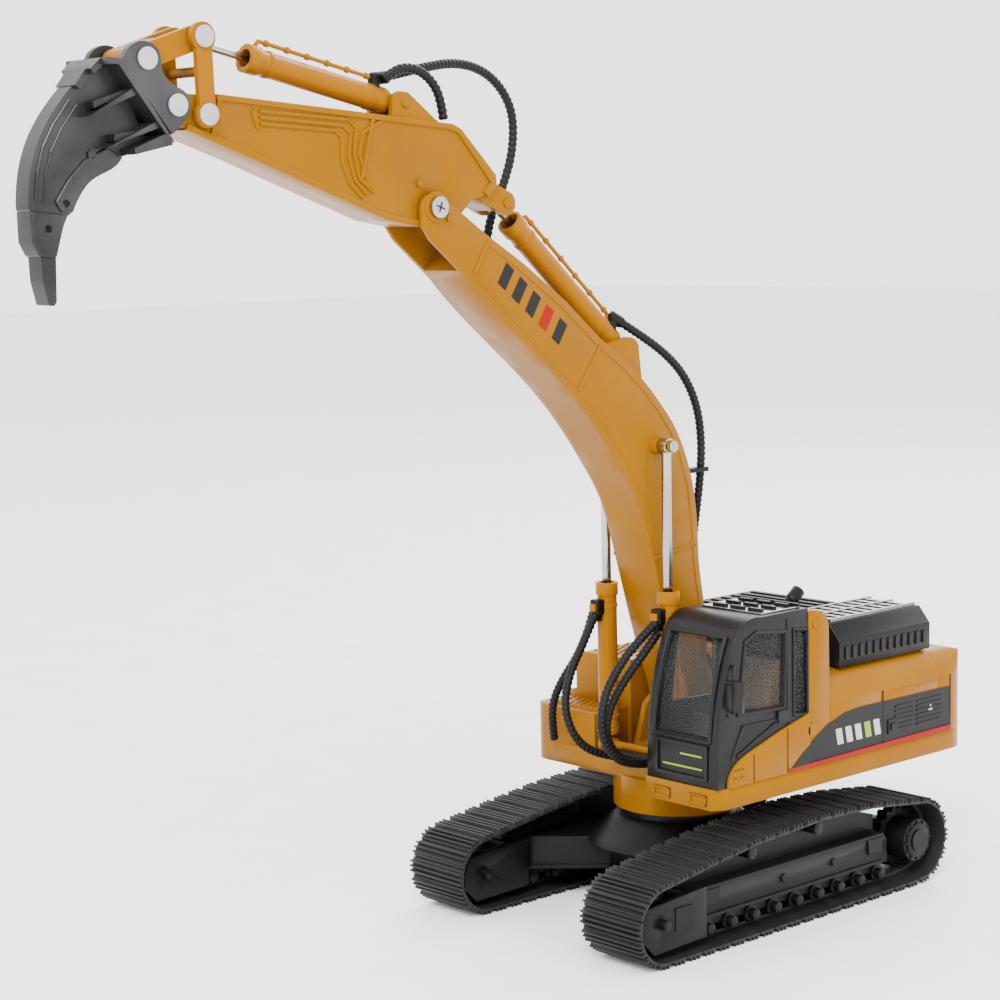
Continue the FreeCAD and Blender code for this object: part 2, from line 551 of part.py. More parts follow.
def linkage():
    head, top = point("crank_top"), point("ripper_top")
    link = new_body("tool_link")
    bar = stadium(head, top, 2.1)
    layer(link, bar, "8.2")
    layer(link, disc(*head, 2.9), "4.6", cut=True)
    gap = [(118, 180), (128.6, 179.6), (129.6, 170), (121, 170)]
    layer(link, gap, "4.6", cut=True)
    layer(link, disc(*head, 0.76), "20", cut=True)
    layer(link, disc(*top, 1.45), "20", cut=True)
    ripper = new_body("ripper")
    foot = point("ripper_foot")
    shank = [(141.6, 172.2), (144.6, 169.4), [(147.2, 166.8), (149.4, 164.2), (151.9, 160.4),
             (153.6, 156.3), (154.5, 152), (154.7, 148.4)], (154.1, 147.6), (154.1, 143.2),
             (152.8, 140.9), (152.6, 136.6), (151.6, 132.7), (150.6, 132.5), (150.1, 133.2),
             (149.9, 140.6), (148.1, 145.8), (147.4, 147.2), (146.2, 148),
             [(144.6, 150.8), (142.6, 152.9), (140, 154.2), (137.6, 155.4), (136.2, 157)],
             (131, 158.6), (137, 171.6)]
    layer(ripper, shank, "{shank_width}")
    plate_line = [(128.4, 159.2), (129.6, 159.9), (139.4, 172.4), (138.2, 172.9)]
    layer(ripper, plate_line, "12.6")
    belly = [(129, 159.7), (128.9, 158.8), (136.4, 157.2), (136.6, 158.2), (130.4, 160.6)]
    layer(ripper, belly, "12.6")
    for crown, width in (([(138.2, 172.9), (141.3, 173.1), (141.3, 172), (138.6, 172)], "12.6"),
                         ([(140.8, 173.1), (141.3, 173.1), (143.4, 171.3), (142.8, 170.4),
                           (140.8, 172)], "9"),
                         ([(142.8, 171.9), (143.4, 171.3), (145.6, 168.6), (144.6, 168),
                           (142.4, 170.8)], "6")):
        layer(ripper, crown, width)
    for rib in (((133.0, 161.4), (133.5, 160.6), (139.4, 159.4), (139.2, 160.6)),
                ((136.6, 168), (137.2, 167.2), (143, 164.8), (143.2, 165.9))):
        layer(ripper, list(rib), "9")
    ear_middle = size("arm_width") / 2 + 0.65 + 0.65
    head_pin = point("ripper_top")
    for sign in (-1, 1):
        ear = [(128.9, 160.6), (138.4, 172.6), (137.6, 173.8),
               [(136.4, 175.2), (133.4, 175.9), (131, 174.4), (130.4, 171.2), (128.4, 168.9),
                (125.8, 167.6), (124.9, 165.6), (125.8, 163.3), (128.9, 160.6)]]
        layer(ripper, ear, "1.3", offset=sign * ear_middle)
        for centre in (foot, head_pin):
            layer(ripper, disc(*centre, size("pin_head")), "0.5", offset=sign * (ear_middle + 0.8))
    layer(ripper, disc(*foot, size("pin_radius")), str(2 * ear_middle))
    layer(ripper, disc(*head_pin, 0.8), str(2 * ear_middle))


HOSES = {
    "tip_hose": [(79, 0, 171.3), (68, -0.8, 173.6), (56.5, -2.6, 175.3), (46.8, -4.1, 173.3),
                 (40.6, -4.7, 167.2), (40.3, -4.9, 159), (43.4, -4.9, 151.2), (47.5, -4.9, 144.6),
                 (48.6, -4.9, 137.6)],
    "crowd_hose": [(18.6, 1, 124.6), (13.1, 3.2, 120.9), (6.6, 4, 116.7), (1.2, 4, 112),
                   (-2.6, 4, 105.5), (-3.9, 4, 98), (-3.8, 3.6, 90), (-3.4, 2.4, 81),
                   (-3.6, 0.8, 72), (-5, -0.9, 63), (-8, -2.3, 54.6), (-13, -3, 48),
                   (-18.9, -3, 44.6)],
    "lift_hose_right": [(15.4, -8.9, 62.4), (19, -8.9, 56.6), (23.6, -8.6, 50.6),
                        (26.6, -7.6, 44.2), (25.6, -6, 37.8), (21.2, -4.4, 33.6),
                        (16.3, -3.4, 32.4)],
    "tip_hose_branch": [(78.8, 1.9, 171.2), (75.7, 1.9, 173.1), (72.2, 1.9, 173.5),
                        (68.8, 1.9, 172.4), (66.1, 1.9, 170), (64.8, 1.9, 166.6),
                        (64.4, 1.9, 164)],
    "lift_hose_right_outer": [(13.4, -11.9, 61.6), (14.6, -12.8, 56.4), (16, -15, 51.2),
                              (17, -18.2, 46.4), (17.2, -20.6, 41.8), (16.7, -21.6, 37.4),
                              (15.6, -22.1, 33)],
    "lift_hose_left_inner": [(15.2, 8.9, 60), (18.6, 8.6, 56.6), (23.6, 8, 52), (27.6, 7, 46.4),
                             (28, 6, 40.4), (24.6, 5, 35.8), (20.6, 4.4, 33.5),
                             (16.3, 4, 32.4)],
    "lift_hose_left": [(15.4, 8.9, 62.4), (20.6, 8.9, 59.4), (26.6, 8.8, 54.8), (31, 8.6, 48.8),
                       (31.6, 8.2, 41.6), (27.4, 7.6, 35.8), (21.6, 7, 33.2), (16.3, 6.6, 32.4)],
}


def hose(label, route):
    """A tube of straight runs joined by tangent arcs, as large as the runs allow."""
    corners = [Vector(*spot) for spot in route]
    edges = []
    radii = []
    at = corners[0]
    for before, corner, after in zip(corners, corners[1:], corners[2:]):
        into, out = corner - before, after - corner
        reach = 0.45 * min(into.Length, out.Length)
        half_turn = into.getAngle(out) / 2
        radius = reach / math.tan(half_turn)
        into.normalize()
        out.normalize()
        first, last = corner - into * reach, corner + out * reach
        inward = (out - into).normalize()
        middle = corner + inward * (radius / math.cos(half_turn) - radius)
        edges.append(Part.LineSegment(at, first).toShape())
        edges.append(Part.Arc(first, middle, last).toShape())
        radii.append(round(radius, 1))
        at = last
    edges.append(Part.LineSegment(at, corners[-1]).toShape())
    spine = Part.Wire(edges)
    start = corners[1] - corners[0]
    profile = Part.Wire(Part.makeCircle(size("hose_radius"), corners[0], start))
    tube = spine.makePipeShell([profile], True, False)
    expected = math.pi * size("hose_radius") ** 2 * spine.Length
    print(label, "length", round(spine.Length, 1), "radii", radii,
          "volume share", round(tube.Volume / expected, 4))
    feature(label, tube)


undercarriage()
house()
boom_parts()
arm_parts()
linkage()
for side, y in (("left", size("lift_side")), ("right", -size("lift_side"))):
    ram("lift_" + side, point("lift_base"), point("lift_pin"), size("lift_barrel"),
        size("lift_radius"), y, 2.4, 1.75, 9)
ram("crowd", point("crowd_base"), point("crowd_pin"), size("crowd_barrel"),
    size("crowd_radius"), 0, 4, 1.95, 17)
ram("tip", point("tip_base"), point("crank_top"), size("tip_barrel"), size("tip_radius"), 0, 4,
    1.62, 12.8)
for label, route in HOSES.items():
    hose(label, route)

document.recompute()
for item in document.Objects:
    if "Invalid" in item.State or "Error" in item.State:
        raise RuntimeError(f"{item.Name} ({item.Label}) failed: {item.State}")
os.makedirs("parts", exist_ok=True)
for part in parts:
    if part.Shape.isNull() or not part.Shape.isValid():
        raise RuntimeError(part.Label + " has no valid shape")
    part.Shape.exportStep(f"parts/{part.Label}.step")
    print(part.Label, len(part.Shape.Solids), round(part.Shape.Volume, 1))
print(len(parts), "parts")
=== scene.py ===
import math

import bmesh
import bpy
from mathutils import Matrix, Vector


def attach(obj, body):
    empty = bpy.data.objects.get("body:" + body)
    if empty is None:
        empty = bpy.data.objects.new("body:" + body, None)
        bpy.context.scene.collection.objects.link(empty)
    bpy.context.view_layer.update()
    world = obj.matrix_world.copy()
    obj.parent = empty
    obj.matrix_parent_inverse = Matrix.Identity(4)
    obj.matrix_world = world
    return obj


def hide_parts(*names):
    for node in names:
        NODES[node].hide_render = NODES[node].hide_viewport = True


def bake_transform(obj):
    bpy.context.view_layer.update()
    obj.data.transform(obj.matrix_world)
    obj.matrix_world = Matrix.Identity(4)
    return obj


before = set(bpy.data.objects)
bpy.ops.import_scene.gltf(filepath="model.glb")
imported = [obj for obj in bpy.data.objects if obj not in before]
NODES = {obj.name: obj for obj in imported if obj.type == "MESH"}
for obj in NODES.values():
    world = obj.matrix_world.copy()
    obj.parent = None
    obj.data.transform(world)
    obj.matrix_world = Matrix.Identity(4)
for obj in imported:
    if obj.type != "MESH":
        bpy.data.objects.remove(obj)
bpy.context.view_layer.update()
MM = 0.001


# ---------------------------------------------------------------- materials
class Nodes:
    """A node material being built: node() adds a node and link() joins sockets."""

    def __init__(self, name):
        self.material = bpy.data.materials.new(name)
        self.material.use_nodes = True
        self.tree = self.material.node_tree
        self.shader = self.tree.nodes["Principled BSDF"]

    def node(self, kind, **values):
        made = self.tree.nodes.new(kind)
        for key, value in values.items():
            made.inputs[key].default_value = value
        return made

    def link(self, source, socket):
        self.tree.links.new(source, socket)

    def noise(self, scale, detail=3.0, stretch=(1, 1, 1)):
        place = self.node("ShaderNodeTexCoord")
        mapping = self.node("ShaderNodeMapping", Scale=stretch)
        self.link(place.outputs["Object"], mapping.inputs["Vector"])
        noise = self.node("ShaderNodeTexNoise", Scale=scale, Detail=detail)
        self.link(mapping.outputs["Vector"], noise.inputs["Vector"])
        return noise.outputs["Fac"]


def surface(name, dark, light, rough=(0.3, 0.45), metallic=0.0, coat=0.0, grain=900.0,
            grain_depth=0.004, patch=60.0, stretch=(1, 1, 1), shine=0.2, glint=(1, 1, 1)):
    """A finish whose colour wanders between two tones, with uneven gloss and a fine grain.

    rough holds the least and the most roughness, grain and patch are the scales of the fine and
    the coarse noise, grain_depth is in millimetres, and glint tints the reflections.
    """
    build = Nodes(name)
    shader = build.shader
    patches = build.noise(patch, 4.0, stretch)
    ramp = build.node("ShaderNodeValToRGB")
    ramp.color_ramp.elements[0].position = 0.35
    ramp.color_ramp.elements[1].position = 0.68
    ramp.color_ramp.elements[0].color = (*dark, 1)
    ramp.color_ramp.elements[1].color = (*light, 1)
    build.link(patches, ramp.inputs["Fac"])
    build.link(ramp.outputs["Color"], shader.inputs["Base Color"])
    gloss = build.node("ShaderNodeMapRange", **{"To Min": rough[0], "To Max": rough[1]})
    fine = build.noise(grain, 5.0, stretch)
    build.link(build.noise(patch * 4), gloss.inputs["Value"])
    build.link(gloss.outputs["Result"], shader.inputs["Roughness"])
    bump = build.node("ShaderNodeBump", Strength=1.0, Distance=grain_depth * MM)
    build.link(fine, bump.inputs["Height"])
    build.link(bump.outputs["Normal"], shader.inputs["Normal"])
    shader.inputs["Metallic"].default_value = metallic
    shader.inputs["Coat Weight"].default_value = coat
    shader.inputs["Coat Roughness"].default_value = 0.12
    shader.inputs["Specular IOR Level"].default_value = shine
    shader.inputs["Specular Tint"].default_value = (*glint, 1)
    return build.material


def clear(name, tint, see_through):
    """Thin clear plastic: mostly transparent, with faint smears."""
    build = Nodes(name)
    shader = build.shader
    shader.inputs["Base Color"].default_value = (*tint, 1)
    smears = {"To Min": see_through, "To Max": see_through + 0.06}
    level = build.node("ShaderNodeMapRange", **smears)
    build.link(build.noise(90.0), level.inputs["Value"])
    build.link(level.outputs["Result"], shader.inputs["Alpha"])
    shader.inputs["Specular IOR Level"].default_value = 0.3
    shader.inputs["Roughness"].default_value = 0.22
    return build.material


WARM = (1.0, 0.55, 0.03)    # keeps the reflections on the yellow parts from going white
YELLOW = surface("yellow_paint", (0.178, 0.067, 0.00005), (0.20, 0.077, 0.0001), (0.26, 0.36),
                 grain=700, grain_depth=0.006, glint=WARM)
AMBER = surface("amber_plastic", (0.205, 0.074, 0.0001), (0.225, 0.083, 0.0002), (0.3, 0.42),
                glint=WARM)
BLACK = surface("black_paint", (0.0020, 0.0020, 0.0021), (0.0036, 0.0036, 0.0037), (0.32, 0.46),
                grain=800, shine=0.14)
TRACK = surface("track_plastic", (0.0062, 0.0062, 0.0063), (0.0115, 0.0115, 0.0117), (0.38, 0.56),
                grain=1400, grain_depth=0.012)
CAB = surface("cab_plastic", (0.0034, 0.0034, 0.0034), (0.0056, 0.0056, 0.0056), (0.3, 0.42),
              grain=1500, shine=0.18)
IRON = surface("dark_iron", (0.024, 0.024, 0.025), (0.062, 0.062, 0.065), (0.26, 0.44),
               metallic=0.8, grain=500, grain_depth=0.03)
CHROME = surface("chrome", (0.30, 0.30, 0.32), (0.42, 0.42, 0.44), (0.1, 0.24), metallic=1.0,
                 grain=2500, grain_depth=0.002, stretch=(0.1, 1, 1))
CAP = surface("pin_cap", (0.30, 0.30, 0.31), (0.38, 0.38, 0.39), (0.25, 0.4), metallic=0.2)
RUBBER = surface("hose_rubber", (0.0026, 0.0026, 0.0028), (0.0052, 0.0052, 0.0055), (0.4, 0.6),
                 grain=2600, grain_depth=0.01, shine=0.15)
# Charcoal film of the decals and dark trim; the same colour is also used as painted shade for the
# cross recess of the arm's bolt.
CHARCOAL_AND_SHADE = surface("charcoal_film_and_painted_shade", (0.0062, 0.0062, 0.0065), (0.008, 0.008, 0.0084), (0.3, 0.42),
                shine=0.15)
STRIPE = surface("red_film", (0.20, 0.004, 0.002), (0.23, 0.005, 0.003), (0.3, 0.4),
                 glint=(1.0, 0.1, 0.05))
LIME = surface("lime_film", (0.15, 0.24, 0.006), (0.18, 0.28, 0.008), (0.3, 0.4))
WHITE = surface("white_film", (0.34, 0.34, 0.34), (0.40, 0.40, 0.40), (0.3, 0.4))
SEAM = surface("seam_shadow", (0.012, 0.004, 0.0003), (0.020, 0.007, 0.0005), (0.6, 0.7),
               shine=0.1)
SEAT = surface("seat_tan", (0.040, 0.024, 0.012), (0.066, 0.040, 0.021), (0.6, 0.8), grain=1800,
               grain_depth=0.03)
ROOF = surface("roof_gloss", (0.006, 0.006, 0.0065), (0.030, 0.030, 0.031), (0.05, 0.16), coat=1.0,
               patch=420.0, shine=0.6)
GLASS = clear("clear_plastic", (0.10, 0.11, 0.11), 0.05)


# ---------------------------------------------------------------- pieces
class Shape:
    """Collects solids, in millimetres, into one mesh piece."""

    def __init__(self):
        self.mesh = bmesh.new()

    def box(self, low, high):
        at = (Vector(low) + Vector(high)) / 2 * MM
        span = [abs(a - b) * MM for a, b in zip(low, high)]
        place = Matrix.Translation(at) @ Matrix.Diagonal((*span, 1))
        bmesh.ops.create_cube(self.mesh, size=1, matrix=place)

    def prism(self, outline, low, high, plane="side"):
        """An outline in side (x, z), plan (x, y) or front (y, z) view, from low to high."""
        turn = {"side": lambda a, b, c: (a, c, b), "plan": lambda a, b, c: (a, b, c),
                "front": lambda a, b, c: (c, a, b)}[plane]
        rings = []
        for level in (low, high):
            ring = [self.mesh.verts.new(Vector(turn(a, b, level)) * MM) for a, b in outline]
            rings.append(ring)
        faces = [self.mesh.faces.new(rings[0]), self.mesh.faces.new(rings[1][::-1])]
        count = len(outline)
        for index in range(count):
            after = (index + 1) % count
            faces.append(self.mesh.faces.new(
                (rings[0][after], rings[0][index], rings[1][index], rings[1][after])))
        bmesh.ops.recalc_face_normals(self.mesh, faces=faces)

    def drum(self, start, end, radius, end_radius=None, sides=28):
        """A cylinder, or a cone where end_radius is given."""
        start, end = Vector(start) * MM, Vector(end) * MM
        along = end - start
        turn = along.to_track_quat("Z", "Y").to_matrix().to_4x4()
        place = Matrix.Translation((start + end) / 2) @ turn
        bmesh.ops.create_cone(self.mesh, cap_ends=True, segments=sides, radius1=radius * MM,
                              radius2=(end_radius or radius) * MM, depth=along.length,
                              matrix=place)

    def run(self, spots, radius, sides=10):
        """A round bar along straight runs, with a ball at each corner."""
        for first, last in zip(spots, spots[1:]):
            self.drum(first, last, radius, sides=sides)
        for spot in spots[1:-1]:
            bmesh.ops.create_uvsphere(self.mesh, u_segments=sides, v_segments=6,
                                      radius=radius * MM,
                                      matrix=Matrix.Translation(Vector(spot) * MM))

    def make(self, name, material, body, bevel):
        """Ends the shape as a piece that rides on a body, with edges rounded by bevel."""
        data = bpy.data.meshes.new(name)
        self.mesh.to_mesh(data)
        self.mesh.free()
        piece = bpy.data.objects.new(name, data)
        bpy.context.scene.collection.objects.link(piece)
        data.materials.append(material)
        soften(piece, bevel)
        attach(piece, body)


def soften(piece, width):
    """Smooth shading with its sharp edges rounded by width, so that they catch the light."""
    data = piece.data
    data.polygons.foreach_set("use_smooth", [True] * len(data.polygons))
    data.set_sharp_from_angle(angle=math.radians(32))
    if width:
        weld = piece.modifiers.new("weld", "WELD")
        weld.merge_threshold = 1e-6
        bevel = piece.modifiers.new("bevel", "BEVEL")
        bevel.width = width * MM
        bevel.segments = 2
        bevel.limit_method = "ANGLE"
        bevel.angle_limit = math.radians(38)
        bevel.harden_normals = True


# ---------------------------------------------------------------- carried-over CAD parts
FINISH = {
    YELLOW: ("platform", "counterweight", "boom", "arm", "boom_bracket", "lift_base_lugs",
             "engine_housing", "left_housing", "fuel_tank", "tool_box", "cab_pillar",
             "cab_side_panel", "bulkhead"),
    AMBER: ("lift_left_barrel", "lift_right_barrel", "crowd_barrel", "tip_barrel", "bell_crank",
            "tool_link"),
    BLACK: ("car_body", "swing_ring", "track_frame_left", "track_frame_right", "idler_left",
            "idler_right", "sprocket_left", "sprocket_right", "track_rollers_left",
            "track_rollers_right", "engine_cover", "cooling_cover", "exhaust_stack",
            "hose_channel"),
    TRACK: ("track_shoes_left", "track_shoes_right", "track_chain_left", "track_chain_right"),
    CAB: ("cab_frame", "mirror", "control_console"),
    SEAT: ("operator_seat",),
    IRON: ("ripper",),
    CHROME: ("lift_left_rod", "lift_right_rod", "crowd_rod", "tip_rod", "arm_pivot_bolt"),
    GLASS: ("windscreen", "door_glass_left", "rear_glass_left", "door_glass_right",
            "rear_glass_right"),
}
EDGE = 0.12    # the bevel of a carried-over part that isn't in BEVELS
BEVELS = {"ripper": 0, "boom": 0.2, "arm": 0.16, "cab_frame": 0.35, "counterweight": 0.35,
          "engine_cover": 0.35, "cooling_cover": 0.35, "platform": 0.3, "cab_pillar": 0.45,
          "bell_crank": 0, "tool_link": 0, "track_shoes_left": 0.05,
          "track_shoes_right": 0.05}
for finish, names in FINISH.items():
    for name in names:
        node = NODES[name]
        node.data.materials.clear()
        node.data.materials.append(finish)
        soften(node, BEVELS.get(name, EDGE))


def both(inner, outer):
    """The low and high y of a piece that reaches from inner to outer, on each side in turn."""
    return ((-outer, -inner), (inner, outer))


# ---------------------------------------------------------------- house
HALF = 31.0        # half the width of the house
CAB_SIDE = 31.2    # just inside the face of the cab's side panel


def decals():
    """Film, stripe and plain marks on the house side; all but the stripe are paper thin."""
    side = HALF + 0.02
    film_face = side + 0.1
    mark_face = side + 0.18
    curve = [(0.2, 31.9), (-3.3, 34.6), (-7.1, 36.8), (-12.2, 39.6), (-17.8, 41.3), (-22.7, 41.7),
             (-53.6, 41.5), (-53.9, 31.9)]
    film, stripe, bars, accent, mark = Shape(), Shape(), Shape(), Shape(), Shape()
    film.prism([(0.2, 31.9), (-3.3, 34.6), (-6.3, 36.4), (-6.3, 31.9)], 31.32, 31.4)
    film.prism([(-6.3, 36.4)] + curve[2:] + [(-6.3, 31.9)], side, film_face)
    film.make("decal_panel", CHARCOAL_AND_SHADE, "house", 0)
    stripe.prism([(0.2, 31.7), (0.2, 32.4), (-53.9, 32.9), (-53.9, 31.7)], film_face, side + 0.42)
    stripe.make("decal_stripe", STRIPE, "house", 0)
    for index in range(5):
        x = -15.4 - index * 3.1
        target = accent if index == 3 else bars
        target.prism([(x, 34.8), (x - 1.9, 34.8), (x - 1.2, 38.2), (x + 0.7, 38.2)], film_face,
                     mark_face)
    bars.make("decal_bars", WHITE, "house", 0)
    accent.make("decal_accent", LIME, "house", 0)
    mark.prism([(-46.2, 37.2), (-47.6, 37.2), (-46.9, 38.6)], film_face, mark_face)
    mark.make("decal_mark", WHITE, "house", 0)


def louvres():
    """Vent slots and slats of the two side doors, and a latch."""
    panels = ((-34.6, -40.7), (-42, -50.8))
    slots, slats, latch = Shape(), Shape(), Shape()
    for front, rear in panels:
        for step in range(4):
            z = 43.2 + step * 0.85
            sink = 0.0 if z < 43.9 else (z - 43.5) * 0.28
            slots.box((rear, HALF - 0.4 - sink, z), (front, HALF + 0.16 - sink, z + 0.38))
        for step in range(6):
            z = 34.6 + step
            slats.box((rear, HALF, z), (front, HALF + 0.32, z + 0.45))
    slots.make("louvres_upper", YELLOW, "house", 0.05)
    slats.make("louvres_lower", CHARCOAL_AND_SHADE, "house", 0.08)
    latch.box((-35, HALF, 34.2), (-32, HALF + 0.45, 37.4))
    latch.box((-34.4, HALF + 0.4, 35), (-32.7, HALF + 0.75, 36.6))
    latch.make("door_latch", CHARCOAL_AND_SHADE, "house", 0.15)


def seams():
    """Dark seams at the ends of the side doors and across the cab's side panel."""
    lines = Shape()
    for low, high in both(HALF - 0.2, HALF + 0.14):
        for x in (-30.5, -54):
            lines.box((x - 0.13, low, 31.7), (x + 0.13, high, 44))
    for x, top in ((0.7, 41), (11.1, 37.4)):
        lines.box((x - 0.1, CAB_SIDE, 31.7), (x + 0.1, CAB_SIDE + 0.18, top))
    lines.make("panel_seams", SEAM, "house", 0)


def side_details():
    """Vents and pillar caps on the cab's side, and two frames on the sill under its front."""
    vents, cap, steps = Shape(), Shape(), Shape()
    face, low, high = CAB_SIDE + 0.22, 33.3, 35.2
    for index in range(3):
        x = 16.9 - index * 1.15
        vents.drum((x, CAB_SIDE, low), (x, face, low), 0.4)
        vents.box((x - 0.4, CAB_SIDE, low), (x + 0.4, face, high))
        vents.drum((x, CAB_SIDE, high), (x, face, high), 0.4)
    vents.make("panel_vents", YELLOW, "house", 0.08)
    cap.drum((-7.2, 30.9, 39.3), (-7.2, 31.3, 39.3), 1.5)
    cap.drum((-8.1, 30.9, 61.2), (-8.1, 31.35, 61.2), 0.7)
    cap.make("pillar_caps", YELLOW, "house", 0.12)
    front, back, low, high, wide, thick = 22.1, 21.8, 28.2, 30.2, 4.6, 0.3
    for y in (13.6, 23.6):
        for z in (low, high - thick):
            steps.box((back, y, z), (front, y + wide, z + thick))
        for edge in (y, y + wide - 0.4):
            steps.box((back, edge, low), (front, edge + 0.4, high))
    steps.make("sill_frames", YELLOW, "house", 0.06)


def engine_tops():
    """Ribs and vents of the two hoods."""
    ribs, grille, band = Shape(), Shape(), Shape()
    for index in range(9):
        x = -22.2 - index * 3.1
        ribs.box((x - 1.0, 12.6, 59.1), (x + 0.4, 24.4, 59.75))
    for y in (12.2, 18.2, 24.2):
        ribs.box((-49.6, y, 59.1), (-20.6, y + 0.7, 59.95))
    ribs.make("engine_cover_ribs", ROOF, "house", 0.15)
    for index in range(12):
        x = -21.4 - index * 2.4
        grille.box((x - 1.1, 28.1, 51.6), (x, 28.5, 54.4))
    grille.make("engine_cover_vents", CHARCOAL_AND_SHADE, "house", 0.1)
    for index in range(7):
        x = -25.6 - index * 3.4
        band.box((x - 1.2, -20, 57.5), (x, 4.2, 58.0))
    band.make("cooling_cover_ribs", CHARCOAL_AND_SHADE, "house", 0.15)


def treads():
    """Raised non-slip dots on the walking surfaces, in staggered rows."""
    dots, gap = Shape(), 1.7
    for x0, x1, y0, y1, top in ((-27.6, -14.6, 12.6, 22.8, 50), (5.6, 11, -28, -14, 40.1),
                                (-27, 0.5, -24.5, -13, 50)):
        for i in range(int((x1 - x0) / gap) + 1):
            for j in range(int((y1 - y0) / gap) + 1):
                x, y = x0 + i * gap, y0 + j * gap + (i % 2) * gap / 2
                dots.drum((x, y, top - 0.05), (x, y, top + 0.3), 0.42, 0.28, sides=8)
    dots.make("tread_dots", YELLOW, "house", 0)


# ---------------------------------------------------------------- cab
def roof_trim():
    roof, bars = Shape(), Shape()
    roof.prism([(-5.6, 13), (-5.6, 29.4), (6.4, 29.4), (6.4, 13)], 64.85, 65.25, "plan")
    roof.make("roof_panel", ROOF, "house", 0.2)
    for x in (-4.2, -0.2, 3.8):
        for y in (14.6, 19.4, 24.2):
            bars.box((x, y, 65.2), (x + 1.0, y + 3.6, 65.75))
    bars.box((-5.6, 12.9, 65.2), (-4.9, 29.4, 65.8))
    bars.make("roof_bars", CAB, "house", 0.1)


def front_trim():
    """The rim and the two plain lines of the lower front panel, and the windscreen's rim."""
    rim, lines, trim = Shape(), Shape(), Shape()
    for y0, y1 in ((14, 14.7), (27.5, 28.2)):
        rim.prism([(21.3, 33), (21.75, 33), (21.6, 40.2), (21.1, 40.2)], y0, y1)
    for z in (33, 39.6):
        rim.box((21.1, 14, z), (21.7, 28.2, z + 0.6))
    rim.make("lower_panel_rim", CAB, "house", 0.15)
    for z, y0, y1 in ((35.0, 16, 26.6), (37.6, 20.8, 26.6)):
        lines.box((21.3, y0, z), (21.55, y1, z + 0.35))
    lines.make("lower_panel_lines", LIME, "house", 0)
    profile = [(21.2, 40.9), (20.95, 44), (20.1, 50), (18.5, 56), (16.75, 60.5), (16.2, 61.7)]
    right, left = 13.4, 28.6
    for y in (right, left):
        trim.run([(x, y, z) for x, z in profile], 0.42, sides=12)
    for x, z in ((21.2, 40.9), (16.3, 61.6)):
        trim.run([(x, right, z), (x, left, z)], 0.42)
    trim.make("windscreen_rim", CAB, "house", 0)


def door_trim():
    """Window rims on both sides, and the door's edge, rails, grab rail and handle."""
    rims, grab, lock = Shape(), Shape(), Shape()
    door = [(15.4, 46), (13, 60.6), (9.6, 62.1), (0.7, 61), (1.2, 45.2), (15.4, 46)]
    rear = [(-1.8, 43.2), (-1.8, 61.2), (-6.1, 60.6), (-6.1, 42.9), (-1.8, 43.2)]
    left, right, rail = 30.85, 11.35, 30.9
    for y in (left, right):
        rims.run([(x, y, z) for x, z in door], 0.36)
        rims.run([(x, y, z) for x, z in rear], 0.32)
    rims.run([(0.2, left, 41.4), (0.2, left, 63.6)], 0.16)
    rims.run([(17.4, rail, 37), (13.9, rail, 43.4), (2.4, rail, 43.2)], 0.3)
    rims.run([(15.9, rail, 37.6), (8.8, rail, 40.6), (2.4, rail, 43.2)], 0.3)
    rims.make("side_window_rims", CAB, "house", 0)
    grab.run([(17.6, 31.3, 47), (17.9, 32.2, 47.6), (18.2, 32.2, 55), (16.8, 31.2, 56.2)], 0.33)
    grab.run([(18.7, 29.6, 46), (18.2, 31.2, 46.4)], 0.3)
    grab.make("grab_rail", CAB, "house", 0)
    lock.box((0.4, 30.8, 42.4), (3.6, 31.5, 45))
    lock.make("door_handle", CAB, "house", 0.2)


# ---------------------------------------------------------------- boom and arm
# Pins as (x, z). Each cylinder has one at the barrel's base and one at the rod's eye.
ARM_PIVOT = (69.9, 147.65)
LIFT_BASE, LIFT_EYE = (12, 33.6), (12.1, 98.4)
CROWD_BASE, CROWD_EYE = (17.3, 118.5), (50.3, 148.2)
TIP_BASE, TIP_EYE = (75.5, 166.8), (121.65, 177.13)
BOOM_HALF = 5.6    # half the width of the boom
PIPE_Y = 4.35      # how far the arm's pipes are from its middle
LIFT_Y = 8.9       # how far the lift cylinders are from the middle


def plate_line(shape, start, end, width, low, high):
    """A straight raised rib between two points of a side face."""
    along = (Vector(end) - Vector(start)).normalized()
    across = Vector((-along.y, along.x)) * width / 2
    start, end = Vector(start), Vector(end)
    shape.prism([tuple(start - across), tuple(end - across), tuple(end + across),
                 tuple(start + across)], low, high)


def studs(shape, spot, y, height, radius):
    """A round stud on both faces of a plate, at a spot (x, z), from y outwards."""
    for side in (-1, 1):
        shape.drum((spot[0], side * y, spot[1]), (spot[0], side * (y + height), spot[1]), radius)


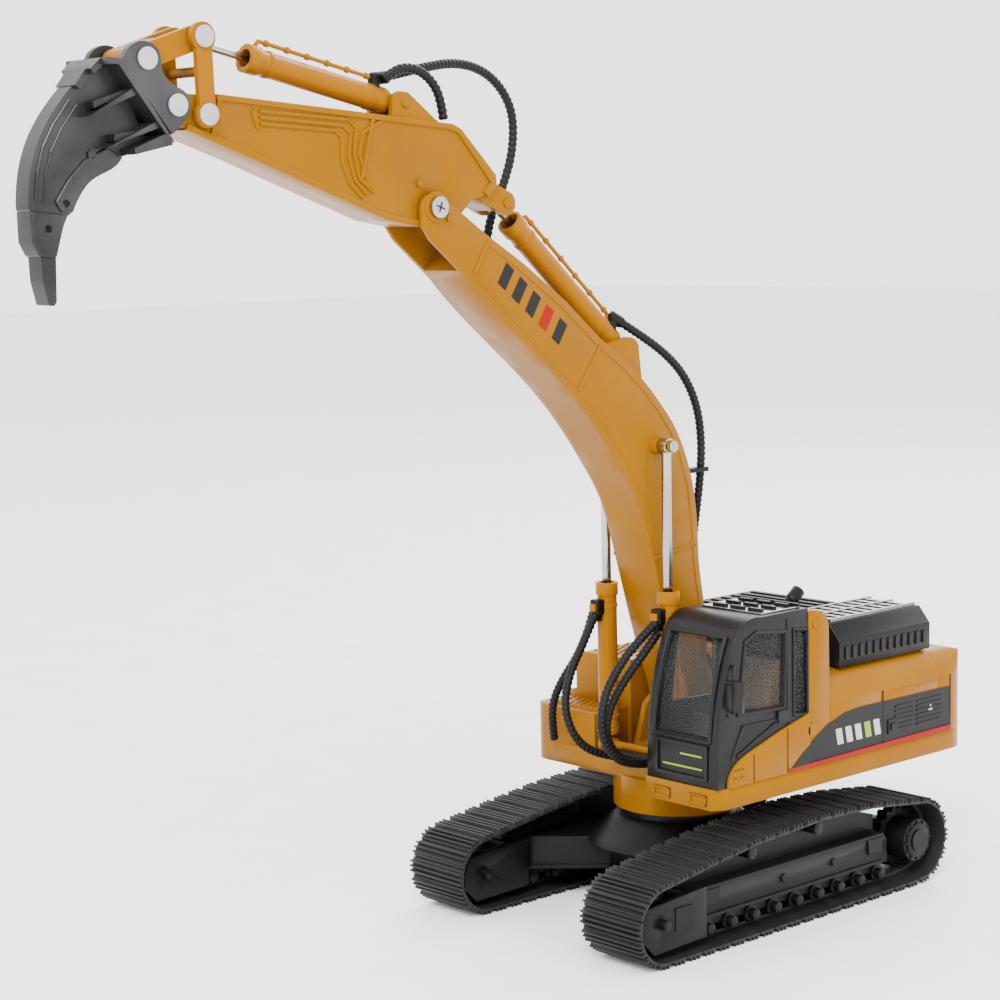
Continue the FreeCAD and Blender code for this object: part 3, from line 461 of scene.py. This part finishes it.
def boom_trim():
    """Ribs, edge beads, plain marks and bosses on both faces, pin caps and the hose clip."""
    ribs, beads, bars, accent = Shape(), Shape(), Shape(), Shape()
    bosses, caps, clip = Shape(), Shape(), Shape()
    for start, end in (((57, 141.2), (61, 134.9)), ((27.2, 119.9), (33.8, 111)),
                       ((-0.4, 76.9), (12.9, 74.9))):
        for low, high in both(BOOM_HALF, BOOM_HALF + 0.4):
            plate_line(ribs, start, end, 0.8, low, high)
    ribs.make("boom_ribs", YELLOW, "boom", 0.12)
    back = [(-1.6, 55), (-1.0, 63.2), (0.5, 71.8), (1.0, 80), (2.2, 88.7), (4.6, 95.8), (7.4, 101),
            (11.1, 105.6), (15.4, 110.1), (20.9, 114.8), (28.2, 119.7), (37.6, 127.6),
            (48.8, 135.3), (57, 140.4)]
    belly = [(61.4, 135.2), (47.2, 122.4), (34, 111.1), (26.4, 103), (20.6, 95.4), (15.4, 87.2),
             (12.4, 78.6), (9.7, 69.8), (6.2, 58.3)]
    for side in (-1, 1):
        for line in (back, belly):
            beads.run([(x, side * (BOOM_HALF + 0.02), z) for x, z in line], 0.26)
    beads.make("boom_edge_beads", YELLOW, "boom", 0)
    for index in range(5):
        x, z = 36.6 + index * 3.5, 124.2 + index * 2.8
        target = accent if index == 1 else bars
        for low, high in both(BOOM_HALF + 0.1, BOOM_HALF + 0.2):
            target.prism([(x, z), (x + 1.9, z + 1.5), (x + 4.3, z - 2.3), (x + 2.4, z - 3.8)],
                         low, high)
    bars.make("boom_decal", CHARCOAL_AND_SHADE, "boom", 0)
    accent.make("boom_decal_accent", STRIPE, "boom", 0)
    studs(bosses, (67, 145.6), BOOM_HALF, 0.6, 0.7)
    studs(bosses, (-1.5, 39), 7.3, 0.6, 1.7)
    bosses.make("boom_bosses", YELLOW, "boom", 0.12)
    studs(caps, LIFT_EYE, 10.9, 0.4, 1.2)
    caps.make("lift_pin_caps", CHROME, "boom", 0.15)
    clip.box((-5.2, 2.6, 91.4), (0.6, 4.9, 92.4))
    clip.make("hose_clips", BLACK, "boom", 0.2)


def arm_trim():
    """Three pipes and a feed pipe on each face, the clamp across them, and the pin bosses."""
    pipes, caps = Shape(), Shape()
    lines = (
        [(109.1, 164.8), (89.5, 163.6), (87.6, 162.2), (88.3, 157.4), (87.1, 153), (84, 150.6)],
        [(109.1, 163.7), (90.5, 162.5), (89, 161), (89.5, 156.7), (88.1, 152.6), (85.5, 150.2)],
        [(109.2, 162.6), (92.4, 161.6), (91, 160.3), (91, 155.9), (89.5, 152.3), (86.7, 149.7)])
    clamp = [(110.6, 165), (109.6, 161.8)]
    feed = [(81.6, 163.5), (86.2, 161.2), (87, 157.4), (85.6, 153)]
    for line in lines:
        for side in (-1, 1):
            pipes.run([(x, side * PIPE_Y, z) for x, z in line], 0.36)
    for side in (-1, 1):
        for line, radius in ((clamp, 0.42), (feed, 0.34)):
            pipes.run([(x, side * PIPE_Y, z) for x, z in line], radius)
    pipes.make("arm_pipes", YELLOW, "arm", 0)
    studs(caps, (72.9, 152.1), 4.2, 0.7, 0.7)
    studs(caps, TIP_BASE, 3.7, 0.5, 0.75)
    studs(caps, CROWD_EYE, 3.6, 0.5, 0.9)
    caps.make("arm_bosses", YELLOW, "arm", 0.12)


def pin_caps():
    """Bright caps on the linkage pins."""
    for name, body, y, spots in (
            ("crank_pin_caps", "bell_crank", 6.5, ((121.2, 164), TIP_EYE)),
            ("ripper_pin_caps", "ripper", 6.7, ((127.67, 165.48), (133.46, 173.08)))):
        caps = Shape()
        for spot in spots:
            studs(caps, spot, y - 0.4, 0.55, 1.9)
        caps.make(name, CAP, body, 0.15)


def screw_head():
    """A dark cross on each end of the arm's bolt: painted shade, in the charcoal colour, that
    stands in for the shade inside the screw's cross recess, which is not cut in.
    """
    cross, face = Shape(), 6.92
    for side in (-1, 1):
        for turn in (20, 110):
            x, z = math.cos(math.radians(turn)), math.sin(math.radians(turn))
            cross.drum((ARM_PIVOT[0] - x, side * face, ARM_PIVOT[1] - z),
                       (ARM_PIVOT[0] + x, side * face, ARM_PIVOT[1] + z), 0.16, sides=8)
    # The cross is painted shade of the recess, not a mark on the bolt.
    cross.make("bolt_recess_painted_shade", CHARCOAL_AND_SHADE, "boom", 0)


def barrel_trim(name, body, base, eye, length, radius, y=0.0, pipe=True):
    """Bands on a cylinder barrel, and its feed pipe with clips; eye is the rod's far pin."""
    bands = Shape()
    start = Vector((base[0], y, base[1]))
    along = (Vector((eye[0], y, eye[1])) - start).normalized()
    up = Vector((-along.z, 0, along.x))
    if up.z < 0:
        up = -up

    def on_barrel(share, rise=-radius):
        """The place at a share of the barrel's length, at a rise above its surface."""
        return start + along * length * share + up * (radius + rise)

    for share in (0.17, 0.86):
        centre = on_barrel(share)
        bands.drum(centre - along * 0.4, centre + along * 0.4, radius + 0.16)
    if pipe:
        pipe_rise = 1.3
        bands.run([on_barrel(share, rise) for share, rise in (
            (0.15, 0.3), (0.17, pipe_rise), (0.93, pipe_rise), (0.95, 0.3))], 0.4)
        for index in range(6):
            share = 0.2 + 0.136 * index
            centre = on_barrel(share, pipe_rise)
            bands.drum(on_barrel(share, 0.9), on_barrel(share, 1.9), 0.36, sides=10)
            bands.drum(centre - along * 0.35, centre + along * 0.35, 0.62)
    bands.make(name, AMBER, body, 0.06)


# ---------------------------------------------------------------- ripper
def ripper_trim():
    """Bolts, guard, gussets and edge beads of the shank, and the tooth at its tip."""
    bolts, guard, gussets, beads, tooth = Shape(), Shape(), Shape(), Shape(), Shape()
    half = 2.5    # half the width of the guard and the tooth
    for x, z in ((142.4, 157.3), (147.8, 149.3), (151.4, 145.2)):
        for side in (-1, 1):
            bolts.drum((x, side * 1.9, z), (x, side * 2.5, z), 0.85, sides=6)
    bolts.make("ripper_bolts", IRON, "ripper", 0.1)
    guard.prism([(136.6, 156.9), (140.3, 154.9), (143.1, 153.5), (145.3, 151.1), (147, 148.4),
                 (148.6, 147.8), (149.8, 149.6), (147.2, 153.2), (144, 156.4), (139.4, 158.6)],
                -half, half)
    guard.make("ripper_guard", IRON, "ripper", 0.35)
    for outline in ([(134.9, 168.8), (133.9, 167.6), (144.6, 163.4)],
                    [(130.6, 163.2), (129.8, 162), (141.6, 158.2)]):
        for low, high in both(1.8, 5.6):
            gussets.prism(outline, low, high)
    gussets.make("ripper_gussets", IRON, "ripper", 0.15)
    back = [(146.2, 166.2), (149.4, 162.2), (151.6, 158.4), (152.8, 154.4), (153.3, 150)]
    for side in (-1, 1):
        beads.run([(x, side * 2.0, z) for x, z in back], 0.3)
        beads.run([(x - 1.5, side * 2.0, z - 0.7) for x, z in back], 0.22)
    beads.make("ripper_edge_beads", IRON, "ripper", 0)
    tooth.prism([(148.1, 147.6), (154.5, 148.2), (154.4, 143), (153.1, 140.6), (149.9, 140.4),
                 (148.4, 145.4)], -half, half)
    tooth.make("ripper_tooth", IRON, "ripper", 0.4)


# ---------------------------------------------------------------- hoses
RADIUS = 0.95                            # of a hose, over its ribs
RIB = (1.0, 0.98, 0.84, 0.84, 0.98)      # shares of the radius along one rib
STEP = 0.22                              # from one of these shares to the next
SIDES = 14


def spline_points(route):
    """The smooth line that a NURBS spline makes of a route, in metres."""
    curve = bpy.data.curves.new("route", "CURVE")
    curve.dimensions = "3D"
    spline = curve.splines.new("NURBS")
    spline.points.add(len(route) - 1)
    for spot, place in zip(spline.points, route):
        spot.co = (*[value * MM for value in place], 1)
    spline.order_u = 3
    spline.use_endpoint_u = True
    spline.resolution_u = 24
    holder = bpy.data.objects.new("route", curve)
    bpy.context.scene.collection.objects.link(holder)
    line = bpy.data.meshes.new_from_object(holder)
    points = [vertex.co.copy() for vertex in line.vertices]
    bpy.data.objects.remove(holder)
    return points


def even(points, gap):
    """The same line as points that are an even gap apart."""
    spaced = [points[0]]
    left = gap
    for first, last in zip(points, points[1:]):
        along = last - first
        length = along.length
        done = 0.0
        while length - done >= left:
            done += left
            spaced.append(first + along * (done / length))
            left = gap
        left -= length - done
    if (spaced[-1] - points[-1]).length > 1e-7:
        spaced.append(points[-1])
    return spaced


def hose(name, route):
    """A ribbed rubber hose, with its path: a tube whose radius rises and falls along it."""
    path = spline_points(route)
    spots = even(path, STEP * MM)
    data = bpy.data.meshes.new(name)
    verts, faces = [], []
    side = Vector((0, 1, 0))
    for index, spot in enumerate(spots):
        ahead = spots[min(index + 1, len(spots) - 1)] - spots[max(index - 1, 0)]
        ahead.normalize()
        side = (side - ahead * side.dot(ahead)).normalized()
        other = ahead.cross(side)
        radius = RADIUS * RIB[index % len(RIB)] * MM
        for step in range(SIDES):
            angle = 2 * math.pi * step / SIDES
            verts.append(spot + (side * math.cos(angle) + other * math.sin(angle)) * radius)
    for ring in range(len(spots) - 1):
        near, far = ring * SIDES, (ring + 1) * SIDES
        for step in range(SIDES):
            after = (step + 1) % SIDES
            faces.append((near + step, near + after, far + after, far + step))
    faces.append(tuple(range(SIDES))[::-1])
    faces.append(tuple(len(verts) - SIDES + step for step in range(SIDES)))
    data.from_pydata(verts, [], faces)
    data.materials.append(RUBBER)
    data.polygons.foreach_set("use_smooth", [True] * len(data.polygons))
    piece = bpy.data.objects.new(name, data)
    bpy.context.scene.collection.objects.link(piece)
    return piece, path


# The control points of each hose that crosses a joint, and of the jumper on the arm.
ROUTES = {
    "tip_hose": [(79, 0, 171.3), (68, -0.8, 173.6), (56.5, -2.6, 175.3), (46.8, -4.1, 173.3),
                 (40.6, -4.7, 167.2), (40.3, -4.9, 159), (43.4, -4.9, 151.2), (47.5, -4.9, 144.6),
                 (48.6, -4.9, 137.6)],
    "crowd_hose": [(18.6, 1, 124.6), (13.1, 3.2, 120.9), (6.6, 4, 116.7), (1.2, 4, 112),
                   (-2.6, 4, 105.5), (-3.9, 4, 98), (-3.8, 3.6, 90), (-3.4, 2.4, 81),
                   (-3.6, 0.8, 72), (-5, -0.9, 63), (-8, -2.3, 54.6), (-13, -3, 48),
                   (-18.9, -3, 44.6)],
    "lift_hose_right": [(15.4, -8.9, 62.4), (19, -8.9, 56.6), (23.6, -8.6, 50.6),
                        (26.6, -7.6, 44.2), (25.6, -6, 37.8), (21.2, -4.4, 33.6),
                        (16.3, -3.4, 32.4)],
    "lift_hose_right_outer": [(13.4, -11.9, 61.6), (14.6, -12.8, 56.4), (16, -15, 51.2),
                              (17, -18.2, 46.4), (17.2, -20.6, 41.8), (16.7, -21.6, 37.4),
                              (15.6, -22.1, 33)],
    "lift_hose_left_inner": [(15.2, 8.9, 60), (18.6, 8.6, 56.6), (23.6, 8, 52), (27.6, 7, 46.4),
                             (28, 6, 40.4), (24.6, 5, 35.8), (20.6, 4.4, 33.5),
                             (16.3, 4, 32.4)],
    "lift_hose_left": [(15.4, 8.9, 62.4), (20.6, 8.9, 59.4), (26.6, 8.8, 54.8), (31, 8.6, 48.8),
                       (31.6, 8.2, 41.6), (27.4, 7.6, 35.8), (21.6, 7, 33.2), (16.3, 6.6, 32.4)],
}
JUMPER = [(78.8, 1.9, 171.2), (75.7, 1.9, 173.1), (72.2, 1.9, 173.5), (68.8, 1.9, 172.4),
          (66.1, 1.9, 170), (64.8, 1.9, 166.6), (64.4, 1.9, 164)]


def hoses():
    for name, route in ROUTES.items():
        piece, path = hose(name + "_ribbed", route)
        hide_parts(name)
        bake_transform(piece)
    jumper, _ = hose("tip_hose_branch_ribbed", JUMPER)
    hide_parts("tip_hose_branch")
    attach(jumper, "arm")


def hose_fittings():
    """Elbows and plugs where the hoses meet the cylinders."""
    for side, y in (("left", LIFT_Y), ("right", -LIFT_Y)):
        body = "lift_" + side + "_barrel"
        block = Shape()
        block.box((14.0, y - 1.3, 61.8), (16, y + 1.3, 65))
        block.box((14.4, y - 1.0, 60.4), (16.4, y + 1.0, 62))
        block.make("hose_block_" + side, BLACK, body, 0.3)
        button = Shape()
        button.box((15.9, y - 0.8, 62.6), (16.7, y + 0.8, 64.2))
        button.make("hose_button_" + side, AMBER, body, 0.2)
    plug = Shape()
    plug.drum((79.6, 0, 169.6), (79.6, 0, 172.3), 1.15)
    plug.drum((80.2, 0, 171.3), (76.4, 0.1, 171.7), 1.2)
    plug.make("tip_plug", BLACK, "tip_barrel", 0.2)
    plug = Shape()
    plug.drum((19.6, 0.6, 121.9), (18.6, 0.8, 125.4), 1.15)
    plug.drum((19.6, 0.7, 125.2), (17, 1.4, 123.6), 1.2)
    plug.make("crowd_plug", BLACK, "crowd_barrel", 0.2)


# ---------------------------------------------------------------- undercarriage
TRACK_Y = 25.8    # how far each track is from the middle


def sprocket_bolts(name, sign):
    bolts = Shape()
    x, z, face = -40.4, 9.7, TRACK_Y + 6.6
    for index in range(12):
        angle = 2 * math.pi * index / 12
        across, up = 4.1 * math.cos(angle), 4.1 * math.sin(angle)
        bolts.drum((x + across, sign * face, z + up), (x + across, sign * (face + 0.4), z + up),
                   0.36, sides=6)
    bolts.drum((x, sign * (face + 0.3), z), (x, sign * (face + 0.9), z), 2.4)
    bolts.make("sprocket_bolts_" + name, BLACK, "sprocket_" + name, 0.06)


def frame_marks(name, sign):
    """Raised plates, bands and bosses on the outer face of a track frame."""
    marks = Shape()
    low, high = sorted(sign * (TRACK_Y + out) for out in (5.4, 5.75))
    for x in (24.2, -27.5):
        marks.prism([(x - 2.2, 9.2), (x + 2.2, 9.2), (x + 2.6, 12.4), (x - 2.6, 12.4)], low, high)
    marks.box((-30, low, 6.6), (27, high, 7.3))
    marks.box((-30, low, 12.6), (27, high, 13.2))
    for x in (-14, 2):
        marks.drum((x, low, 10), (x, high, 10), 0.9)
    low, high = sorted(sign * (TRACK_Y + out) for out in (6.4, 6.75))
    marks.box((30.6, low, 6.4), (35.6, high, 11))
    marks.make("frame_marks_" + name, BLACK, "undercarriage", 0.1)


def inner_guard(name, sign):
    """The plate between the frame and the upper run of the track."""
    guard = Shape()
    y = sign * TRACK_Y
    guard.prism([(-31, 11), (31, 11), (30, 15.2), (23, 16.9), (11, 18.2), (-9, 19.2),
                 (-23, 18.6), (-31, 16.4)], y - 2.2, y + 2.2)
    guard.make("inner_guard_" + name, BLACK, "undercarriage", 0.1)


decals()
louvres()
seams()
side_details()
engine_tops()
treads()
roof_trim()
front_trim()
door_trim()
boom_trim()
arm_trim()
pin_caps()
screw_head()
barrel_trim("lift_left_bands", "lift_left_barrel", LIFT_BASE, LIFT_EYE, 34.8, 2.1, LIFT_Y, False)
barrel_trim("lift_right_bands", "lift_right_barrel", LIFT_BASE, LIFT_EYE, 34.8, 2.1, -LIFT_Y, False)
barrel_trim("crowd_pipe", "crowd_barrel", CROWD_BASE, CROWD_EYE, 39.2, 2.3)
barrel_trim("tip_pipe", "tip_barrel", TIP_BASE, TIP_EYE, 34.1, 2.3)
ripper_trim()
hoses()
hose_fittings()
for track, outward in (("left", 1), ("right", -1)):
    sprocket_bolts(track, outward)
    frame_marks(track, outward)
    inner_guard(track, outward)


# ---------------------------------------------------------------- studio
def area(name, place, target, span, power):
    """A round area light that looks at a target."""
    data = bpy.data.lights.new(name, "AREA")
    data.shape = "DISK"
    data.size = span
    data.energy = power
    lamp = bpy.data.objects.new(name, data)
    lamp.location = place
    lamp.rotation_euler = (Vector(target) - Vector(place)).to_track_quat("-Z", "Y").to_euler()
    bpy.context.scene.collection.objects.link(lamp)


def studio():
    """A pale floor just under the tracks, white surroundings and three lights."""
    data = bpy.data.meshes.new("floor")
    span, level = 3.0, -0.00002
    data.from_pydata([(-span, -span, level), (span, -span, level), (span, span, level),
                      (-span, span, level)], [], [(0, 1, 2, 3)])
    data.materials.append(surface("floor_paint", (0.82, 0.82, 0.82), (0.86, 0.86, 0.86),
                                  (0.5, 0.6)))
    floor = bpy.data.objects.new("floor", data)
    bpy.context.scene.collection.objects.link(floor)
    world = bpy.data.worlds.new("studio")
    world.use_nodes = True
    background = world.node_tree.nodes["Background"]
    background.inputs["Color"].default_value = (1, 1, 1, 1)
    background.inputs["Strength"].default_value = 2.8
    bpy.context.scene.world = world
    area("key", (0.75, 0.55, 0.9), (0.02, 0, 0.09), 0.5, 22)
    area("fill", (0.2, 0.95, 0.35), (0.02, 0, 0.08), 0.7, 4)
    area("rim", (-0.7, -0.3, 0.7), (0, 0, 0.1), 0.5, 7)


def camera():
    """The picture's camera, from a fit to measured points: angles, roll, lens and place."""
    azimuth, elevation, roll = (math.radians(value) for value in (137.707, 7.035, 1.137))
    back = Vector((math.sin(azimuth) * math.cos(elevation),
                   -math.cos(azimuth) * math.cos(elevation), math.sin(elevation)))
    look = -back
    right = look.cross(Vector((0, 0, 1))).normalized()
    down = look.cross(right)
    turned = math.cos(roll) * right + math.sin(roll) * down
    down = -math.sin(roll) * right + math.cos(roll) * down
    data = bpy.data.cameras.new("camera")
    data.sensor_width = 36
    data.lens = 83.56
    data.clip_start = 0.01
    eye = bpy.data.objects.new("camera", data)
    eye.matrix_world = Matrix((
        (turned.x, -down.x, -look.x, 355.37 * MM), (turned.y, -down.y, -look.y, 335.43 * MM),
        (turned.z, -down.z, -look.z, 146.26 * MM), (0, 0, 0, 1)))
    bpy.context.scene.collection.objects.link(eye)
    bpy.context.scene.camera = eye


studio()
camera()
